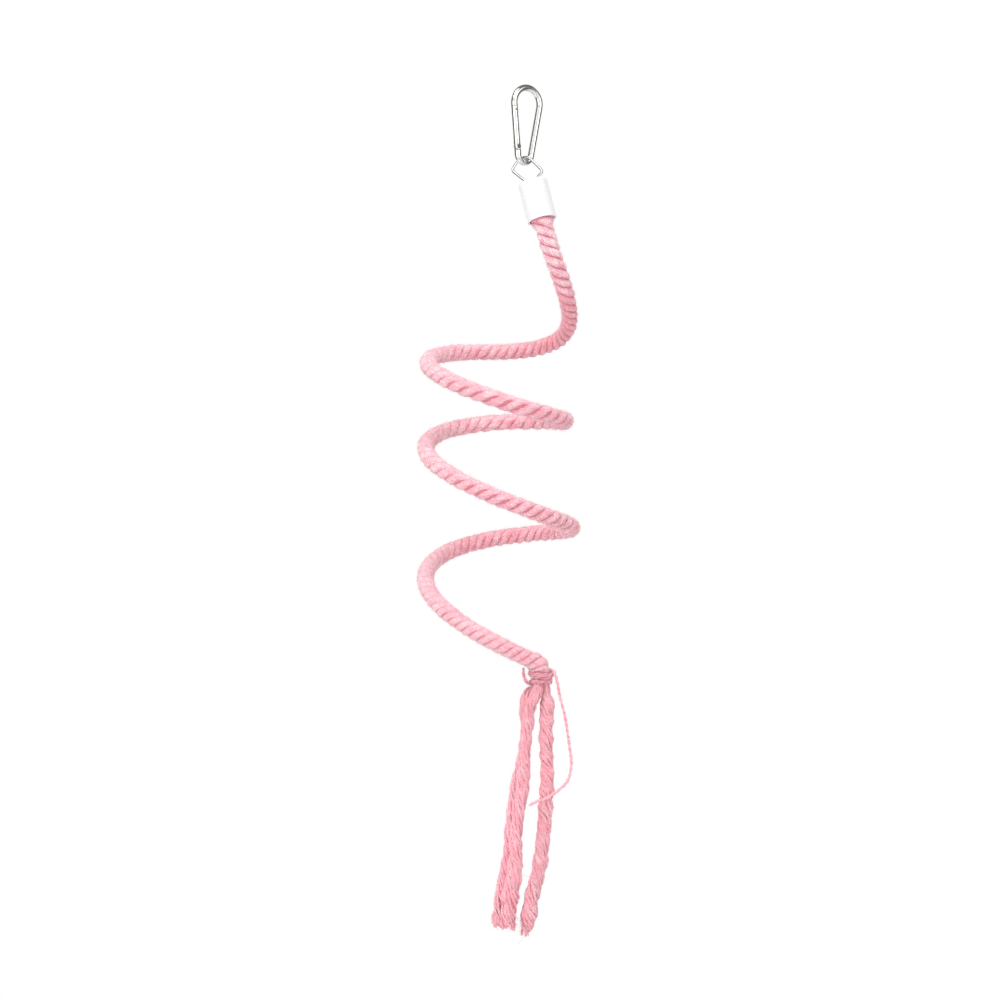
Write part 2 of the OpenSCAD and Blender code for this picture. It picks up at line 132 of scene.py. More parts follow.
def outFrom(line, rings):
    return ((rings - line[:, None, :]) ** 2).sum(axis=2) ** 0.5


noiseCells = 509  # the soft noise repeats after so many bumps


# Soft unevenness over two running coordinates, from -1 to 1
def softNoise(u, v, seed):
    n = noiseCells
    grid = np.random.default_rng(seed).uniform(-1, 1, (n, n))
    iu, iv = np.floor(u).astype(int), np.floor(v).astype(int)
    fu, fv = ease(u - iu), ease(v - iv)
    near = grid[iu % n, iv % n] * (1 - fv) + grid[iu % n, (iv + 1) % n] * fv
    far = grid[(iu + 1) % n, iv % n] * (1 - fv) + grid[(iu + 1) % n, (iv + 1) % n] * fv
    return near * (1 - fu) + far * fu


# What a cotton skin carries: the tone's red is how far a point stands out of the
# lay, which sets the painted shade in the grooves; green how pale it is, from bleaching
# and from painted highlight and shade; blue how much darker it is made, which on the rope
# is painted shade. The lay counts yarns across and centimetres along.
def layMap(across, run):
    return np.stack([across, np.repeat(run[:, None] * 0.1, across.shape[1], axis=1)], axis=-1)


# Each set of rings becomes one closed skin
def skinMesh(ringSets):
    points, faces, tones, lays = [], [], [], []
    base = 0
    for ringSet in ringSets:
        rings = ringSet["rings"]
        n, m = rings.shape[:2]
        i = np.arange(n - 1)[:, None] * m
        k = np.arange(m)[None, :]
        nextK = (k + 1) % m
        quads = np.stack([i + k, i + nextK, i + m + nextK, i + m + k], axis=-1).reshape(-1, 4)
        faces += (quads + base).tolist()
        first, last = base + n * m, base + n * m + 1
        faces += [[first, base + (q + 1) % m, base + q] for q in range(m)]
        top = base + (n - 1) * m
        faces += [[last, top + q, top + (q + 1) % m] for q in range(m)]
        tone = ringSet.get("tone", np.full((n, m, 3), 0.5))
        lay = ringSet.get("lay", np.zeros((n, m, 2)))
        for kept, given in ((points, rings), (tones, tone), (lays, lay)):
            kept.append(given.reshape(-1, given.shape[2]))
            kept.append(np.stack([given[0].mean(axis=0), given[-1].mean(axis=0)]))
        base += n * m + 2
    return np.concatenate(points), faces, np.concatenate(tones), np.concatenate(lays)


def tonedPiece(name, points, faces, tones, material):
    mesh = bpy.data.meshes.new(name)
    mesh.from_pydata((points * mm).tolist(), [], faces)
    tone = mesh.attributes.new("tone", "FLOAT_COLOR", "POINT")
    tone.data.foreach_set("color", np.concatenate(
        [tones, np.ones((len(tones), 1))], axis=1).astype(np.float32).ravel())
    mesh.uv_layers.new(name="lay")
    mesh.materials.append(material)
    mesh.update()
    piece = bpy.data.objects.new(name, mesh)
    bpy.context.scene.collection.objects.link(piece)
    return piece


def pieceFromSkins(name, ringSets, material):
    points, faces, tones, lays = skinMesh(ringSets)
    piece = tonedPiece(name, points, faces, tones, material)
    mesh = piece.data
    corner = np.zeros(len(mesh.loops), np.int32)
    mesh.loops.foreach_get("vertex_index", corner)
    mesh.uv_layers["lay"].data.foreach_set("uv", lays[corner].astype(np.float32).ravel())
    mesh.polygons.foreach_set("use_smooth", [True] * len(mesh.polygons))
    mesh.update()
    return piece


# An sRGB hex colour as the linear values that the nodes take
def colour(hexText):
    parts = [int(hexText[i:i + 2], 16) / 255 for i in (1, 3, 5)]
    return tuple(c / 12.92 if c <= 0.04045 else ((c + 0.055) / 1.055) ** 2.4
                 for c in parts) + (1.0,)


# Each input gets a value or the output of another node
def setInputs(tree, node, inputs):
    for key, given in inputs.items():
        if isinstance(given, bpy.types.NodeSocket):
            tree.links.new(given, node.inputs[key])
        else:
            node.inputs[key].default_value = given


def addNode(tree, kind, inputs=None, **settings):
    node = tree.nodes.new(kind)
    for key, value in settings.items():
        setattr(node, key, value)
    setInputs(tree, node, inputs or {})
    return node


def mathNode(tree, operation, *terms, clamp=False):
    return addNode(tree, "ShaderNodeMath", dict(enumerate(terms)), operation=operation,
                   use_clamp=clamp).outputs[0]


def noiseNode(tree, sizeMm, detail, **more):
    place = addNode(tree, "ShaderNodeTexCoord")
    return addNode(tree, "ShaderNodeTexNoise",
                   {"Vector": place.outputs["Object"], "Scale": 1 / (sizeMm * mm),
                    "Detail": detail, **more}).outputs["Fac"]


def rangeNode(tree, value, source, target, shape="LINEAR"):
    return addNode(tree, "ShaderNodeMapRange",
                   {"Value": value, "From Min": source[0], "From Max": source[1],
                    "To Min": target[0], "To Max": target[1]},
                   interpolation_type=shape).outputs["Result"]


def mixNode(tree, factor, a, b, blend="MIX"):
    return addNode(tree, "ShaderNodeMix", {"Factor": factor, "A": a, "B": b},
                   data_type="RGBA", blend_type=blend).outputs["Result"]


def bumpNode(tree, height, strength, highMm):
    return addNode(tree, "ShaderNodeBump", {"Height": height, "Strength": strength,
                                            "Distance": highMm * mm}).outputs["Normal"]


def newMaterial(name):
    material = bpy.data.materials.new(name)
    material.use_nodes = True
    tree = material.node_tree
    return material, tree, tree.nodes["Principled BSDF"]


# Dyed cotton, carded and laid soft: matt and pale, with painted shade where the lay
# closes, a faint sheen from loose fibres and light that soaks in a little
cotton = {
    "dyeMm": 9,  # patches of paler and fuller dye
    "tuftMm": 1.5,  # tufts of carded cotton
    "fibreMm": 0.35,  # single fibres are 0.02 mm, drawn coarser so that they show
    "streaks": 1.3,  # streaks along the yarns, to a yarn across or 10 mm along
    "grooveShare": 0.42,  # the deep colour fades out over this share of the depth
    "streakShare": 0.38, "patchShare": 1.1, "tuftShare": 1.5, "yarnShare": 0.3,
    "darkening": "#faebec", "sheenTint": "#fff0f2",
    "tuftRelief": 2.2, "reliefMm": 0.6, "soakMm": 1.6,
}


def cottonMaterial(name, pale, middle, deep, yarnRelief, sheen):
    g = cotton
    material, tree, shader = newMaterial(name)
    tone = addNode(tree, "ShaderNodeAttribute", attribute_name="tone")
    parts = addNode(tree, "ShaderNodeSeparateColor", {"Color": tone.outputs["Color"]}).outputs
    lay = addNode(tree, "ShaderNodeUVMap", uv_map="lay").outputs["UV"]
    across = addNode(tree, "ShaderNodeSeparateXYZ", {"Vector": lay}).outputs["X"]
    patches = noiseNode(tree, g["dyeMm"], 2.0)
    tufts = noiseNode(tree, g["tuftMm"], 2.0)
    fibres = noiseNode(tree, g["fibreMm"], 3.0, Roughness=0.7)
    # a ridge to each yarn, and each yarn dyed a little differently
    yarnWave = mathNode(tree, "COSINE", mathNode(tree, "MULTIPLY", across, 2 * math.pi))
    yarnDye = addNode(tree, "ShaderNodeTexWhiteNoise", {"W": mathNode(tree, "FLOOR", across)},
                      noise_dimensions="1D").outputs["Value"]
    # painted shade: the ground colour is deep in the grooves; the deeper streaks along the yarns
    # are the cotton's own
    depth = rangeNode(tree, parts["Red"], (0, g["grooveShare"]), (0, 1), "SMOOTHSTEP")
    shadedGround = mixNode(tree, depth, colour(deep), colour(middle))
    streaks = addNode(tree, "ShaderNodeTexNoise", {"Vector": lay, "Scale": g["streaks"],
                                                   "Detail": 3.0, "Roughness": 0.65})
    mottle = rangeNode(tree, streaks.outputs["Fac"], (0.3, 0.62), (1, 0))
    streaked = mixNode(tree, mathNode(tree, "MULTIPLY", mottle, g["streakShare"]), shadedGround,
                       colour(deep))
    # paler tufts, patches and yarns add up to the bloom
    bloom = mathNode(tree, "MULTIPLY_ADD", tufts, g["tuftShare"], -1.0)
    bloom = mathNode(tree, "MULTIPLY_ADD", patches, g["patchShare"], bloom)
    bloom = mathNode(tree, "MULTIPLY_ADD", yarnDye, g["yarnShare"], bloom)
    # the tone's green scales the bloom, so it brings in the painted shade and highlight of the
    # skins as well as their bleaching
    bloom = mathNode(tree, "MULTIPLY", bloom, parts["Green"], clamp=True)
    surface = mixNode(tree, bloom, streaked, colour(pale))
    # relief from the tufts, the fibres and the yarns' ridges
    fluff = mathNode(tree, "MULTIPLY_ADD", tufts, g["tuftRelief"], fibres)
    height = mathNode(tree, "MULTIPLY_ADD", yarnWave, yarnRelief, fluff)
    # the tone's blue multiplies in the darkening tint: painted shade on the rope, darker over the
    # stretches that each strand's table gives on the tassel
    setInputs(tree, shader, {
        "Base Color": mixNode(tree, parts["Blue"], surface, colour(g["darkening"]), "MULTIPLY"),
        "Normal": bumpNode(tree, height, 0.8, g["reliefMm"]),
        "Roughness": 0.92, "Specular IOR Level": 0.2,
        "Sheen Weight": sheen, "Sheen Roughness": 0.5, "Sheen Tint": colour(g["sheenTint"]),
        "Subsurface Weight": 0.25, "Subsurface Radius": (1.0, 0.45, 0.4),
        "Subsurface Scale": g["soakMm"] * mm,
    })
    return material


# The rope's cotton is pale, the tassel's a little fuller and the binding's, wound
# tight, the deepest; single fibres are palest
# in each, the deep colour is the painted shade in the grooves and the colour of the deeper
# streaks
ropeCotton = cottonMaterial("laidCottonDyedPink", "#fedfe4", "#f9a8b7", "#e38293", 0.42, 0.6)
tasselCotton = cottonMaterial("looseCottonDyedPink", "#ffe0e4", "#fea3b1", "#f57f93", 0.2, 0.7)
boundCotton = cottonMaterial("tightCottonDyedPink", "#fcd3da", "#ef8fa2", "#c9566f", 0.2, 0.6)
fuzzCotton = cottonMaterial("cottonFibresDyedPink", "#fddbe0", "#f9bcc7", "#eb98a7", 0.0, 0.3)


# Metal, plated, drawn or peened: clouded by handling, duller and darker where the
# cloud is thick, with a faint ripple
def metalMaterial(name, tint, roughness, cloudMm):
    material, tree, shader = newMaterial(name)
    cloud = noiseNode(tree, cloudMm, 4.0, Roughness=0.65)
    stain = rangeNode(tree, cloud, (0.35, 0.75), (0, 0.35))
    setInputs(tree, shader, {
        "Base Color": mixNode(tree, stain, colour(tint[0]), colour(tint[1])),
        "Roughness": rangeNode(tree, cloud, (0.3, 0.7), (roughness * 0.7, roughness * 1.6)),
        "Normal": bumpNode(tree, cloud, 0.12, 0.1), "Metallic": 1.0,
    })
    return material


# Nickel plate is bright, the peened pins dark and dull, the eye's zinc greyer, the
# spring plain grey wire, and the brass has dulled to brown
hookPlate = metalMaterial("polishedNickelPlate", ("#e2e1de", "#c4c2bd"), 0.14, 2.5)
gatePlate = metalMaterial("polishedNickelPlateGate", ("#dddcd9", "#bfbdb8"), 0.16, 2.5)
pinSteel = metalMaterial("peenedDarkSteel", ("#7d7b77", "#5b5956"), 0.36, 0.8)
eyeSteel = metalMaterial("galvanisedWire", ("#d5d6d7", "#b0b2b4"), 0.24, 1.2)
springSteel = metalMaterial("springSteelWire", ("#a9a8a6", "#7e7d7b"), 0.35, 0.6)
# the brass is tarnished, and painted darker too for the shade of the bore it sits in
shadedTarnishedBrass = metalMaterial("tarnishedBrassPaintedShade", ("#93815a", "#6f6043"), 0.42, 0.8)


# Injection-moulded ABS, gloss white: faint flow marks and a soft shine
def capMaterial():
    material, tree, shader = newMaterial("glossWhiteMouldedABS")
    flow = noiseNode(tree, 6, 3.0, Distortion=0.6)
    setInputs(tree, shader, {
        "Base Color": mixNode(tree, flow, colour("#e3e2e3"), colour("#dddbdd")),
        "Roughness": rangeNode(tree, flow, (0, 1), (0.22, 0.36)),
        "Normal": bumpNode(tree, flow, 0.08, 0.2),
        "Subsurface Weight": 0.05, "Subsurface Scale": 2 * mm,
    })
    return material


# Mottled between two tints: set hot glue, milky and waxy, and matt white paper
def mottledMaterial(name, tint, grainMm, detail, roughness):
    material, tree, shader = newMaterial(name)
    grain = noiseNode(tree, grainMm, detail)
    setInputs(tree, shader, {
        "Base Color": mixNode(tree, grain, colour(tint[0]), colour(tint[1])),
        "Roughness": roughness,
    })
    return material


capPlastic = capMaterial()
waxyGlue = mottledMaterial("setHotGlue", ("#e9dfc6", "#d8cba8"), 2, 2.0, 0.45)
whitePaper = mottledMaterial("matWhitePaper", ("#f6f6f6", "#efefef"), 2.5, 3.0, 0.9)
print("materials made")

# The same route as the solids' (mm): out of the cap, round the spiral, down into
# the binding
perchLine = {
    "capUp": (-0.2340222, 0.1638641, 0.9583226),
    "capMouth": (11.0497, -10.4034, -96.5759),
    "inCap": 16.8,
    "fromMouth": (-32, 5), "spiralR": 54, "turns": 2.82,
    "firstTurnIn": 5, "drawnInAt": 0.9, "drawnInTurns": 1.4,
    "pitchFirst": 44.5, "pitchGrowth": 34.5, "sideDip": 8, "backLift": 9, "leadH": 95,
    "leadJoin": 0.29, "leadPull": 66, "spiralPull": 105,
    "tailOut": 8, "tailPull": 5, "tailDrop": 10,
    "ropeD": 12, "neckD": 13.8, "capInnerD": 18.6, "capPlay": 0.1, "flareL": 7,
}


def spiralPoint(t):
    g = perchLine
    out = np.abs(t - g["drawnInAt"])
    bump = np.where(out < g["drawnInTurns"] / 2, np.cos(np.pi * out / g["drawnInTurns"]) ** 2, 0)
    r = g["spiralR"] - g["firstTurnIn"] * bump
    a = 2 * np.pi * t
    x = g["capMouth"][0] + g["fromMouth"][0] + r * np.cos(a)
    y = g["capMouth"][1] + g["fromMouth"][1] + r * np.sin(a)
    z = (g["capMouth"][2] - g["leadH"] - (g["pitchFirst"] - g["pitchGrowth"] / 2) * t
         - g["pitchGrowth"] / 2 * t * t - g["sideDip"] * np.cos(a) + g["backLift"] * np.sin(a))
    return np.stack([x, y, z], axis=-1)


def spiralHeading(t, step=0.001):
    return unit(spiralPoint(np.array(t + step)) - spiralPoint(np.array(t - step)))


def perchRoute(spacing):
    g = perchLine
    mouth, capUp, up = np.array(g["capMouth"]), np.array(g["capUp"]), np.array([0, 0, 1.0])
    join, end = spiralPoint(np.array(g["leadJoin"])), spiralPoint(np.array(g["turns"]))
    endDir = spiralHeading(g["turns"])
    flatDir = unit(endDir * [1, 1, 0])
    boundEnd = end + g["tailOut"] * flatDir - g["tailDrop"] * up
    inside = np.linspace(mouth + g["inCap"] * capUp, mouth, 20)[:-1]
    lead = bezierLine([mouth, mouth - g["leadPull"] * capUp,
                       join - g["spiralPull"] * spiralHeading(g["leadJoin"]), join],
                      steps=400)[:-1]
    spiral = spiralPoint(np.linspace(g["leadJoin"], g["turns"], 2400))
    tail = bezierLine([end, end + g["tailPull"] * endDir, boundEnd + g["tailPull"] * up,
                       boundEnd], steps=60)[1:]
    return evenSteps(np.concatenate([inside, lead, spiral, tail]), spacing), boundEnd


def ropeRadius(s):
    g = perchLine
    inCapR, neckR, ropeR = g["capInnerD"] / 2 - g["capPlay"], g["neckD"] / 2, g["ropeD"] / 2
    flare = inCapR + (neckR - inCapR) * ease(np.clip(s / g["flareL"], 0, 1))
    body = neckR + (ropeR - neckR) * np.clip((s - g["flareL"]) / (g["leadH"] - g["flareL"]), 0, 1)
    return np.where(s < g["flareL"], flare, body)


ropeLine, boundEnd = perchRoute(spacing=0.6)
print("rope line", round(runAlong(ropeLine)[-1]), "mm, bound end", np.round(boundEnd, 2))

# The rope's three strands hang unlaid as free cords. Routes are shares of the
# tassel's length; the pairs give a value at a distance down the strand, in mm.
tassel = {
    "length": 190, "ringR": 2.9 / math.sin(math.radians(60)), "neckL": 10,
    "lumpEvery": 12.5, "lumps": 0.06, "slubEvery": 8, "slubs": 0.09,
    "cordShare": 0.92,  # the cord's width as a share of the solid's
    "right": {
        "cordD": 10.4,
        "route": [(0.02, 0, 0.08), (0.025, 0, 0.12), (0.02, 0, 0.24), (0.025, 0, 0.4),
                  (0.02, 0, 0.49), (0.01, 0, 0.61), (-0.005, 0, 0.73), (-0.033, 0, 0.85),
                  (-0.058, 0, 1)],
        "halfWidth": [(0, 2.65), (10, 3.3), (22, 4.7), (60, 4.9), (100, 5.1), (135, 5.0),
                      (155, 5.6), (174, 6.0), (190, 3.7)],
        "darkening": [(0, 0.1), (30, 0.15), (50, 0.5), (105, 0.5), (130, 0)],
    },
    "left": {
        "cordD": 9.6,
        "route": [(-0.035, 0, 0.09), (-0.05, 0, 0.13), (-0.055, 0, 0.24), (-0.075, 0, 0.4),
                  (-0.095, 0, 0.52), (-0.105, 0, 0.64), (-0.11, 0, 0.73), (-0.13, 0, 0.85),
                  (-0.14, 0, 0.97)],
        "halfWidth": [(0, 2.65), (8, 3.6), (18, 4.8), (30, 4.4), (45, 3.6), (62, 3.8),
                      (80, 4.6), (110, 4.3), (128, 4.5), (145, 5.6), (190, 5.9)],
        "darkening": [(0, 0.6), (22, 0.6), (36, 0)],
    },
    # shares of a left strand's offset from their common route (distance, across, back)
    "closeness": [(0, 1, 1), (12, 0.9, 1), (25, 0.55, 0.9), (45, 0.15, 0.75), (62, 0.2, 0.75),
                  (85, 0.8, 0.85), (120, 0.65, 0.85), (150, 0.95, 1), (190, 1, 1)],
}
# Each strand's start round the rope's end (degrees), its offset from the route and
# its lay, where it starts to fray and how far it spreads, and the range that its
# yarns are cut short by (mm)
tasselStrands = {
    "tasselStrandRight": {"node": "strand_right", "side": "right", "angle": 0,
                          "offset": (0, 0, 0), "layMm": 37, "frayFrom": 150, "spread": 0.6,
                          "ends": (0, 8), "seed": 3},
    "tasselStrandLeftBack": {"node": "strand_left_back", "side": "left", "angle": 120,
                             "offset": (-2.8, 4.2, 0), "layMm": 64, "frayFrom": 110,
                             "spread": 1.2, "ends": (0, 3), "seed": 5},
    "tasselStrandLeftFront": {"node": "strand_left_front", "side": "left", "angle": 240,
                              "offset": (2.8, -4.2, 0), "layMm": 56, "frayFrom": 105,
                              "spread": 1.2, "ends": (0, 3), "seed": 8},
}
# Inside a strand, lengths in mm: an outer ring of yarns and a few thicker ones in
# the middle. The packing is 2 pi and a quarter more, so that yarns press together.
bundle = {
    "yarns": 16, "coreYarns": 3, "packing": 7.9, "coreRing": 0.45, "coreThick": 1.5,
    "layVaries": (0.97, 1.03), "longWave": (18, 34), "shortWave": (9, 15),
    "wander": 0.8, "swing": 0.35, "sway": 0.22, "swell": 0.12,
    "frayPower": 1.5, "frayOut": (-0.6, 1.0), "frayThin": 0.45, "tipL": 2.5, "tipShare": 0.55,
    "plyMm": 4.6, "pliesWide": 4, "roundness": 1.07, "plyDepth": 0.13, "woolDepth": 0.14,
    "sides": 10, "fillSides": 22, "fillIn": 0.64, "fillWool": 0.35, "fillShort": 2,
}


def strandLine(strand):
    a = math.radians(strand["angle"])
    offset = np.array(strand["offset"])
    start = np.array([tassel["ringR"] * math.cos(a), tassel["ringR"] * math.sin(a), 0])
    points = [start, start - [0, 0, tassel["neckL"]]]
    points += [tassel["length"] * np.array([x, y, -z]) + offset
               for x, y, z in tassel[strand["side"]]["route"]]
    line = evenSteps(smoothThrough(points, steps=12), spacing=1.0)
    at, across, back = zip(*tassel["closeness"])
    run = runAlong(line)
    line[:, 0] -= offset[0] * (1 - np.interp(run, at, across))
    line[:, 1] -= offset[1] * (1 - np.interp(run, at, back))
    return line + boundEnd


def strandRadius(strand, run):
    at, half = zip(*tassel[strand["side"]]["halfWidth"])
    lumps = tassel["lumps"] * wave(run, tassel["lumpEvery"], strand["seed"])
    slubs = tassel["slubs"] * softNoise(run / tassel["slubEvery"], 0 * run, strand["seed"])
    return (np.interp(run, np.array(at) * run[-1] / tassel["length"], half)
            * (1 + lumps + slubs))


# Each yarn is a closed tube that winds with the strand and wanders a little; at
# its cut end it thins and stands off
def yarnSkin(strand, line, run, radius, sideA, sideB, j, rng):
    g = bundle
    total = run[-1]
    inner = j >= g["yarns"]
    start = 2 * math.pi * (j / g["coreYarns"] if inner else j / g["yarns"])
    lay = strand["layMm"] * rng.uniform(*g["layVaries"])
    turnAt, plyAt, swingAt, swayAt = [rng.uniform(0, 2 * math.pi) for _ in range(4)]
    longWave, shortWave = rng.uniform(*g["longWave"]), rng.uniform(*g["shortWave"])
    length = total - rng.uniform(*strand["ends"])
    keep = run <= length
    line, s, radius = line[keep], run[keep], radius[keep]
    fray = np.clip((s - strand["frayFrom"]) / (total - strand["frayFrom"]), 0,
                   1) ** g["frayPower"]
    turn = (start - 2 * np.pi * s / lay
            + g["wander"] * g["swing"] * wave(s, longWave, turnAt))
    yarnD = g["packing"] * radius / (g["yarns"] + g["packing"] / 2)
    ring = (radius - yarnD / 2) * (g["coreRing"] if inner else 1.0)
    yarnD = yarnD * (g["coreThick"] if inner else 1.0)
    ring = ring + g["wander"] * (g["swing"] * wave(s, longWave, swingAt)
                                 + g["sway"] * wave(s, shortWave, swayAt))
    ring = np.maximum(ring + fray * strand["spread"] * rng.uniform(*g["frayOut"]), 0)
    centre = windRound(line, ring, turn, sideA[keep], sideB[keep])
    yarnA, yarnB = crossFrame(centre, (1, 0.2, 0))
    thick = (yarnD / 2 * (1 + g["swell"] * wave(s, shortWave, plyAt))
             * (1 - g["frayThin"] * fray))
    thick = thick * np.clip((length - s) / g["tipL"] + g["tipShare"], g["tipShare"], 1)
    # two plies show as a twisted, slightly oval section
    a = ringAngles(g["sides"])
    plies = np.cos(2 * (a + (2 * np.pi * s / g["plyMm"] + plyAt)[:, None]))
    wool = softNoise(a * 1.9 + j * 7, s[:, None] / 1.5 + 0 * a, strand["seed"] + j)
    section = g["roundness"] + g["plyDepth"] * plies + g["woolDepth"] * wool
    rings = tubeRings(centre, thick[:, None] * section, yarnA, yarnB, g["sides"])
    # painted shade up to a third of the strand's radius, painted lighter from there to its
    # outside and on the plies' crests, and the bloom follows it
    outward = outFrom(line, rings)
    depth = np.clip((outward - radius[:, None] * 0.35) / (radius[:, None] * 0.65), 0, 1)
    depth = np.clip(depth * rng.uniform(0.8, 0.95) + 0.22 * plies + 0.2 * wool - 0.1, 0, 1)
    bloom = rng.uniform(0.3, 0.9) * (0.3 + 0.7 * depth)
    darkenBy = np.interp(s, *zip(*tassel[strand["side"]]["darkening"]))
    darkened = rng.uniform(0.8, 1.2) * darkenBy[:, None] + 0 * depth
    across = g["pliesWide"] * (a / (2 * np.pi) + (s / g["plyMm"])[:, None])
    return {"rings": rings, "tone": np.stack([depth, bloom, darkened], axis=-1),
            "lay": layMap(across, s)}


# Loose cotton fills the strand between the yarns, its tone partly in the painted groove shade
def fillSkin(strand, line, run, radius, sideA, sideB):
    g = bundle
    keep = run <= run[-1] - sum(strand["ends"]) / 2 - g["fillShort"]
    run = run[keep]
    yarnShare = g["packing"] / (g["yarns"] + g["packing"] / 2)
    fill = radius[keep] * (1 - g["fillIn"] * yarnShare) * np.interp(run, [0, 3], [0.5, 1])
    wool = softNoise(np.arange(g["fillSides"])[None, :], run[:, None] / 1.6, strand["seed"])
    rings = tubeRings(line[keep], fill[:, None] + g["fillWool"] * wool, sideA[keep],
                      sideB[keep], g["fillSides"])
    return {"rings": rings,
            "tone": np.stack([0.38 + 0.25 * wool, 0.4 + 0.25 * wool, 0 * wool], axis=-1)}


tasselSkins = {}
for name, strand in tasselStrands.items():
    rng = random.Random(strand["seed"])
    line = strandLine(strand)
    run = runAlong(line)
    radius = strandRadius(strand, run)
    sideA, sideB = crossFrame(line, (1, 0, 0))
    sets = [yarnSkin(strand, line, run, radius, sideA, sideB, j, rng)
            for j in range(bundle["yarns"] + bundle["coreYarns"])]
    tasselSkins[name] = [one["rings"] for one in sets]
    sets.append(fillSkin(strand, line, run, radius, sideA, sideB))
    piece = pieceFromSkins(name, sets, tasselCotton)
    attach(piece, "perch")
    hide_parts(strand["node"])
print("tassel strands made")

# The binding's turns with their short end, then the long end as the loose yarn.
# The stub's points are from the turns' start, the loose yarn's from the rope's
# bound end (mm).
binding = {
    "yarnD": 2.2, "turns": 3, "gap": 0.3, "yarnGap": 0.6,
    "tilt": 1.0, "tiltShift": 2.3, "bulge": 0.8, "bulgesPerTurn": 3.1, "bulgeSeed": 12,
    "thin": 1.0, "bulky": 1.42, "bulksOver": 8,
    "stub": [(-5, -4, 12), (-5, -5, 8), (-4, -5, 3.5), (-1.5, -3, 0.5)],
    "loose": [(10, -3, 1), (12, -3, -7), (14, -1, -17), (17, 0, -29), (19, 0, -40),
              (21, -2, -55), (22, -3, -64), (20, -5, -75), (14, -8, -82), (5, -9, -88),
              (-3, -9, -91), (-9, -9, -94)],
}
# The plies' shares of the yarn's width, and the mm that their unevenness runs over
plies = {
    "ring": 0.19, "thick": 0.33, "swing": 0.3, "swingRun": 5, "ringVaries": 0.1,
    "ringRun": 3.1, "thickVaries": 0.08, "thickRun": 2.3, "tipShare": 0.35, "tipL": 4,
    "wool": 0.18, "woolRun": 1.2, "sides": 8, "yarnsWide": 3,
}


def bindingPoint(t):
    r = perchLine["ropeD"] / 2 + binding["gap"] + binding["yarnD"] / 2
    pitch = binding["yarnD"] + binding["yarnGap"]
    a = np.pi + 2 * np.pi * t
    return boundEnd + np.stack([r * np.cos(a), -r * np.sin(a),
                                binding["yarnD"] - pitch * (binding["turns"] + 0.5 - t)], axis=-1)


# The wound turns are pulled unevenly: they tilt and lie over one another
def slacken(line):
    turn = np.arctan2(line[:, 1] - boundEnd[1], line[:, 0] - boundEnd[0])
    wind = np.linspace(0, binding["turns"] + 0.5, len(line))
    out = unit((line - boundEnd) * [1, 1, 0])
    tilt = (binding["tilt"] * np.sin(turn + binding["tiltShift"] * wind)
            * np.sin(np.pi * wind / wind[-1]))
    bulge = binding["bulge"] * softNoise(wind * binding["bulgesPerTurn"], 0 * wind,
                                         binding["bulgeSeed"])
    return line + out * bulge[:, None] + tilt[:, None] * np.array([0, 0, 1.0])


# Two plies laid round each other, along the yarn's own line
def pliedYarn(line, yarnD, layMm, seed, bloom):
    g = plies
    rng = random.Random(seed)
    sideA, sideB = crossFrame(line, (0.2, 1, 0.1))
    run = runAlong(line)
    yarnD = np.broadcast_to(yarnD, run.shape)
    a = ringAngles(g["sides"])
    sets = []
    for j in range(2):
        turn = (np.pi * j - 2 * np.pi * run / layMm
                + g["swing"] * np.sin(run / g["swingRun"] + rng.random()))
        ring = yarnD * g["ring"] * (1 + g["ringVaries"]
                                    * np.sin(run / g["ringRun"] + rng.random() * 6))
        centre = windRound(line, ring, turn, sideA, sideB)
        thick = yarnD * g["thick"] * (1 + g["thickVaries"]
                                      * np.sin(run / g["thickRun"] + rng.random() * 6))
        thick = thick * np.clip((run[-1] - run) / g["tipL"] + g["tipShare"], g["tipShare"], 1)
        wool = softNoise(a * 1.3 + 9 * j, run[:, None] / g["woolRun"] + 0 * a, seed + j)
        rings = tubeRings(centre, thick[:, None] * (1 + g["wool"] * wool), sideA, sideB,
                          g["sides"])
        # painted shade towards the yarn's middle where the plies meet, lighter on their crests,
        # and deeper still on a yarn of little bloom
        depth = np.clip((outFrom(line, rings) / yarnD[:, None] - 0.15) / g["thick"]
                        + 0.3 * wool, 0, 1)
        tone = np.stack([depth * (0.45 + 0.55 * bloom), np.full_like(depth, bloom), 0 * depth],
                        axis=-1)
        across = a / (2 * np.pi) * g["yarnsWide"] + 0 * run[:, None]
        sets.append({"rings": rings, "tone": tone, "lay": layMap(across, run)})
    return sets


turnsStart = bindingPoint(np.array(0.0))
stubLine = smoothThrough([turnsStart + q for q in binding["stub"]] + [turnsStart], steps=6)[:-1]
turnLine = slacken(bindingPoint(np.linspace(0, binding["turns"] + 0.5, 160)))
# the wound turns are slack and bulky, the short end is drawn thin
bindingLine = evenSteps(np.concatenate([stubLine, turnLine]), spacing=0.6)[::-1].copy()
stubL = runAlong(stubLine)[-1]
bulk = np.interp(runAlong(bindingLine[::-1])[::-1], [0, stubL, stubL + binding["bulksOver"]],
                 [binding["thin"], binding["thin"], binding["bulky"]])
bindingSkins = pliedYarn(bindingLine, binding["yarnD"] * bulk, layMm=11, seed=2, bloom=0.3)
bindingPiece = pieceFromSkins("bindingYarn", bindingSkins, boundCotton)
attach(bindingPiece, "perch")
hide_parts("binding")

looseLine = evenSteps(smoothThrough([turnLine[-1] - boundEnd] + binding["loose"], steps=10),
                      spacing=0.8) + boundEnd
looseSkins = pliedYarn(looseLine, binding["yarnD"], layMm=9, seed=4, bloom=0.8)
loosePiece = pieceFromSkins("looseYarn", looseSkins, tasselCotton)
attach(loosePiece, "perch")
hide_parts("loose_yarn")
print("binding and loose yarn made")

